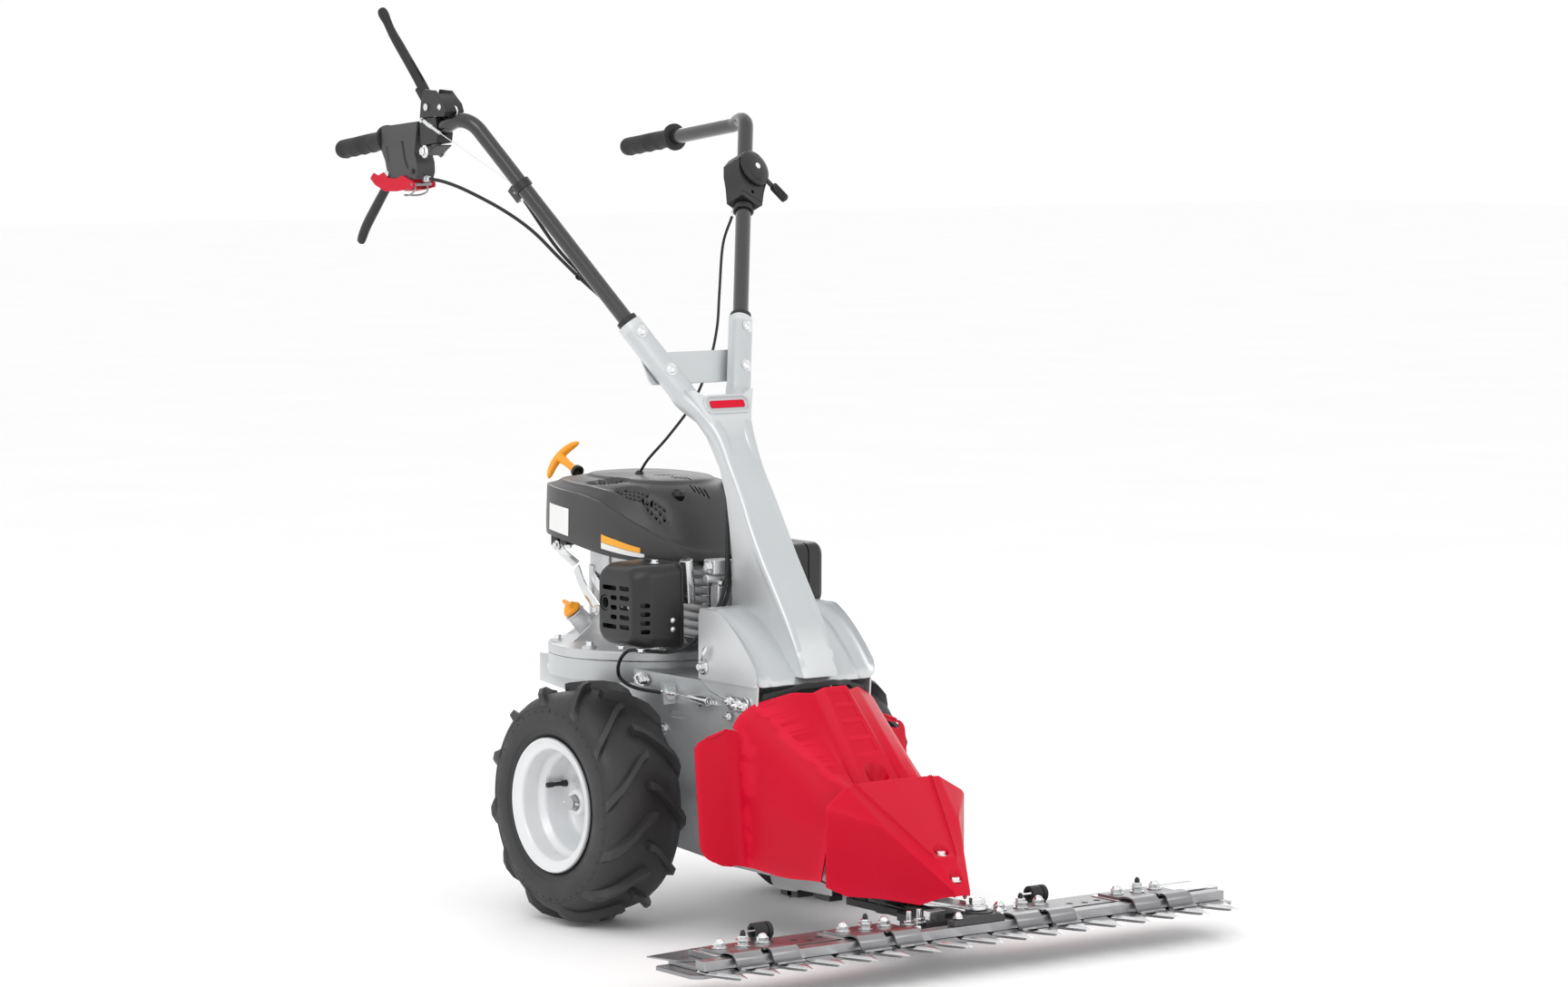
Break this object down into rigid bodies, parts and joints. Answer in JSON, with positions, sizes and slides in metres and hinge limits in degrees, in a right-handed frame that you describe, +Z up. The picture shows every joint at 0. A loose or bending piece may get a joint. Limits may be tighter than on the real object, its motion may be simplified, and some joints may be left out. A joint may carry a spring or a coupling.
{
  "type": "brush mower",
  "caption": "Two-wheeled walk-behind brush mower: reciprocating cutter bar, red hood, silver console mast, vertical-shaft engine, ag-tread wheels and bar controls.",
  "frame": {"origin": "centre of the bounding box on the ground plane, under the machine", "axes": "+Z up, -Y forwards towards the cutter bar, +X towards the driver's left"},
  "size_m": [0.895, 1.2023, 1.2554],
  "materials": {
    "silver_paint": "silver powder coat, satin",
    "red_plastic": "moulded red plastic, fine grain",
    "black_plastic": "moulded black plastic, fine grain",
    "grey_plastic": "moulded dark grey plastic",
    "black_paint": "glossy black powder coat",
    "rubber": "soft black rubber",
    "tyre": "tread rubber",
    "zinc": "bright zinc plating",
    "cast_aluminium": "sand-cast aluminium",
    "dark_steel": "oiled dark steel",
    "blade_steel": "hardened ground steel",
    "orange_plastic": "moulded orange plastic",
    "cast_iron": "black painted casting"
  },
  "bodies": {
    "frame": {"air_filter_box": "black_plastic", "belt_clutch_arm": "zinc", "cable_bracket": "zinc", "cable_clutch": "rubber", "cable_drive": "rubber", "cable_throttle": "rubber", "cable_turnbuckle": "zinc", "carburettor": "cast_aluminium", "chassis_frame": "silver_paint", "clutch_lever_bracket": "black_plastic", "cutter_base": "dark_steel", "drive_belt": "rubber", "drive_lever_housing": "grey_plastic", "engine_crankcase": "cast_aluminium", "engine_cylinder": "cast_aluminium", "engine_shroud": "grey_plastic", "fuel_tank": "black_plastic", "gearbox_case": "cast_aluminium", "grip_left": "rubber", "grip_right": "rubber", "handlebar_left": "black_paint", "handlebar_right": "black_paint", "hold_down_1": "dark_steel", "hold_down_2": "dark_steel", "hold_down_3": "dark_steel", "hold_down_4": "dark_steel", "hood_main": "red_plastic", "hood_nose": "red_plastic", "knife_drive_housing": "cast_iron", "mast": "silver_paint", "mast_cross_plate": "silver_paint", "muffler": "dark_steel", "muffler_guard": "black_plastic", "spark_plug": "zinc", "throttle_housing": "black_plastic", "valve_cover": "cast_aluminium"},
    "wheel_right": {"tyre_right": "tyre", "rim_right": "silver_paint"},
    "wheel_left": {"tyre_left": "tyre", "rim_left": "silver_paint"},
    "axle": {"axle": "dark_steel", "axle_pin_right": "zinc", "axle_pin_left": "zinc"},
    "crank": {"crankshaft": "dark_steel", "flywheel": "cast_aluminium", "crank_pulley": "dark_steel"},
    "gearbox_input": {"gearbox_pulley": "dark_steel"},
    "knife_shaft": {"knife_shaft": "dark_steel"},
    "knife": {"knife": "blade_steel"},
    "drive_arm": {"drive_arm": "zinc"},
    "clutch_lever": {"clutch_lever": "rubber"},
    "drive_lever": {"drive_lever": "black_plastic"},
    "safety_catch": {"safety_catch": "red_plastic"},
    "throttle_lever": {"throttle_lever": "black_plastic"},
    "starter_handle": {"starter_handle": "orange_plastic"},
    "oil_cap": {"oil_cap": "orange_plastic"},
    "fuel_cap": {"fuel_cap": "black_plastic"},
    "adjuster_lever": {"adjuster_lever": "zinc"}
  },
  "joints": [
    {"name": "wheel_right_spin", "type": "hinge", "parent": "frame", "child": "wheel_right", "pos_m": [-0.195, 0.0589, 0.165], "axis": [1, 0, 0], "continuous": true},
    {"name": "wheel_left_spin", "type": "hinge", "parent": "frame", "child": "wheel_left", "pos_m": [0.195, 0.0589, 0.165], "axis": [1, 0, 0], "continuous": true},
    {"name": "axle_spin", "type": "hinge", "parent": "frame", "child": "axle", "pos_m": [0, 0.0589, 0.165], "axis": [1, 0, 0], "continuous": true},
    {"name": "crank_spin", "type": "hinge", "parent": "frame", "child": "crank", "pos_m": [0, 0.1889, 0.301], "axis": [0, 0, 1], "continuous": true},
    {"name": "gearbox_input_spin", "type": "hinge", "parent": "frame", "child": "gearbox_input", "pos_m": [0, -0.0261, 0.301], "axis": [0, 0, 1], "continuous": true},
    {"name": "knife_shaft_spin", "type": "hinge", "parent": "frame", "child": "knife_shaft", "pos_m": [0, -0.1911, 0.125], "axis": [0, -1, 0], "continuous": true},
    {"name": "knife_slide", "type": "slide", "parent": "frame", "child": "knife", "axis": [1, 0, 0], "range_m": [-0.0508, 0]},
    {"name": "drive_arm_swing", "type": "hinge", "parent": "frame", "child": "drive_arm", "pos_m": [0, -0.3661, 0.0745], "axis": [0, 0, 1], "range_deg": [-19.3, 0.05]},
    {"name": "clutch_lever_squeeze", "type": "hinge", "parent": "frame", "child": "clutch_lever", "pos_m": [-0.249, 0.3465, 1.1118], "axis": [1, 0, 0], "range_deg": [-45, 0], "stiffness_Nm_per_rad": 2, "springref_deg": 17.19},
    {"name": "drive_lever_squeeze", "type": "hinge", "parent": "frame", "child": "drive_lever", "pos_m": [-0.249, 0.4509, 1.018], "axis": [1, 0, 0], "range_deg": [0, 32], "stiffness_Nm_per_rad": 1, "springref_deg": -17.19},
    {"name": "safety_catch_release", "type": "hinge", "parent": "frame", "child": "safety_catch", "pos_m": [-0.249, 0.3819, 1.004], "axis": [1, 0, 0], "range_deg": [-25, 0], "stiffness_Nm_per_rad": 0.2, "springref_deg": 28.65},
    {"name": "throttle_turn", "type": "hinge", "parent": "frame", "child": "throttle_lever", "pos_m": [0.2003, 0.20783, 1.02402], "axis": [0.2228, -0.8689, 0.4421], "range_deg": [0, 70]},
    {"name": "starter_pull", "type": "slide", "parent": "frame", "child": "starter_handle", "axis": [0, 0.9292, 0.3697], "range_m": [0, 0.45], "stiffness_N_per_m": 25, "springref_m": -0.2},
    {"name": "oil_cap_turn", "type": "hinge", "parent": "frame", "child": "oil_cap", "pos_m": [-0.10036, 0.23, 0.4058], "axis": [-0.6194, 0.1998, 0.7592], "range_deg": [0, 90]},
    {"name": "fuel_cap_turn", "type": "hinge", "parent": "frame", "child": "fuel_cap", "pos_m": [0.095, 0.0989, 0.5925], "axis": [0, 0, 1], "range_deg": [0, 120]},
    {"name": "adjuster_turn", "type": "hinge", "parent": "frame", "child": "adjuster_lever", "pos_m": [-0.1004, -0.0829, 0.3576], "axis": [1, 0, 0], "range_deg": [-40, 40]}
  ],
  "couplings": [
    {"joint": "gearbox_input_spin", "follows": "crank_spin", "ratio": 0.684},
    {"joint": "knife_shaft_spin", "follows": "crank_spin", "ratio": 0.684},
    {"joint": "drive_arm_swing", "follows": "knife_slide", "rad_per_m": 6.604}
  ]
}
